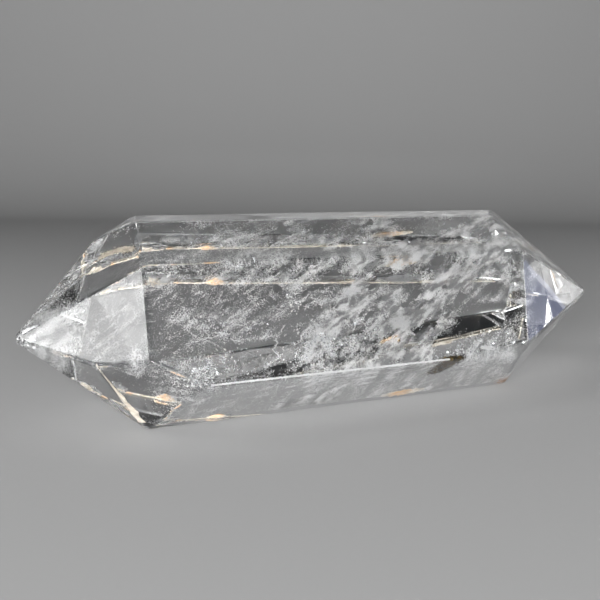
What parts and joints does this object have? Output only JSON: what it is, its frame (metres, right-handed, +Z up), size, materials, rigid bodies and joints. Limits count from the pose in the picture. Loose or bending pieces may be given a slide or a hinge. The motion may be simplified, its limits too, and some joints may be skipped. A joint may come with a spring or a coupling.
{
  "type": "double-terminated quartz point",
  "caption": "Clear polished rock crystal with an irregular faceted body, ground to a point at both ends, lying on a narrow flat face.",
  "frame": {"origin": "on the plane of the flat foot, under the middle of the stone's box", "axes": "+X along the stone from its left tip to its right tip, +Y away from the viewer, +Z up"},
  "size_m": [0.0798, 0.0306, 0.022],
  "materials": {
    "clear_quartz": "polished, with milky veils inside and a few patches of rough natural skin"
  },
  "bodies": {
    "root": {"quartz_point": "clear_quartz"}
  },
  "joints": []
}
